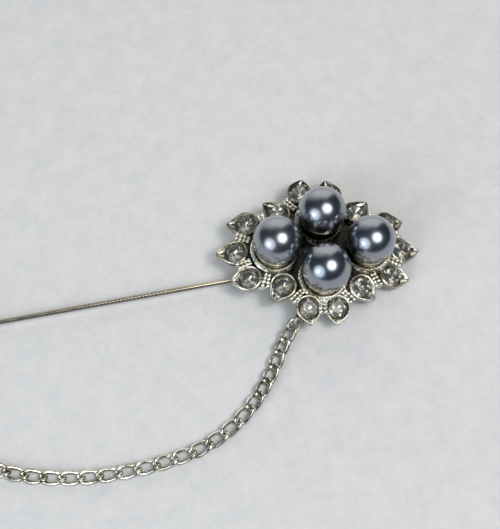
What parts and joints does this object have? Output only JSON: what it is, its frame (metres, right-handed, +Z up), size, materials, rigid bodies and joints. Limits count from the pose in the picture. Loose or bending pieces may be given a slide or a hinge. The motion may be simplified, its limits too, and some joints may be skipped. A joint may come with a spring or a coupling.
{
  "type": "stick pin brooch",
  "caption": "Flower head of dark pearls ringed by drop-shaped petals with cut stones, on a straight pin stem whose clutch is joined to the head by a curb chain.",
  "frame": {"origin": "middle of the brooch's footprint, on the surface it lies on", "axes": "+X to the right along the flower head's long axis and away from the pin's point, +Y from the chain towards the far side, +Z up from the surface"},
  "size_m": [0.0838, 0.05, 0.0125],
  "materials": {
    "cast_metal": "bright silver-coloured plating on cast metal",
    "pin_wire": "drawn wire with a thin warm plating",
    "clutch_metal": "bright plating on a turned barrel",
    "chain_metal": "bright plating on drawn wire",
    "ring_metal": "bright plating on drawn wire, a little darker",
    "cut_glass": "polished clear cut glass over a silver foil",
    "pearl_lacquer": "glossy dark grey-blue pearl lacquer"
  },
  "bodies": {
    "root": {"setting": "cast_metal", "pin_stem": "pin_wire", "clutch": "clutch_metal", "chain": "chain_metal", "jump_ring_flower": "ring_metal", "jump_ring_clutch": "ring_metal", "stone_01": "cut_glass", "stone_02": "cut_glass", "stone_03": "cut_glass", "stone_04": "cut_glass", "stone_05": "cut_glass", "stone_06": "cut_glass", "stone_07": "cut_glass", "stone_08": "cut_glass", "stone_09": "cut_glass", "stone_10": "cut_glass", "stone_11": "cut_glass", "stone_12": "cut_glass", "stone_13": "cut_glass", "stone_14": "cut_glass", "pearl_left": "pearl_lacquer", "pearl_top": "pearl_lacquer", "pearl_right": "pearl_lacquer", "pearl_bottom": "pearl_lacquer"}
  },
  "joints": []
}
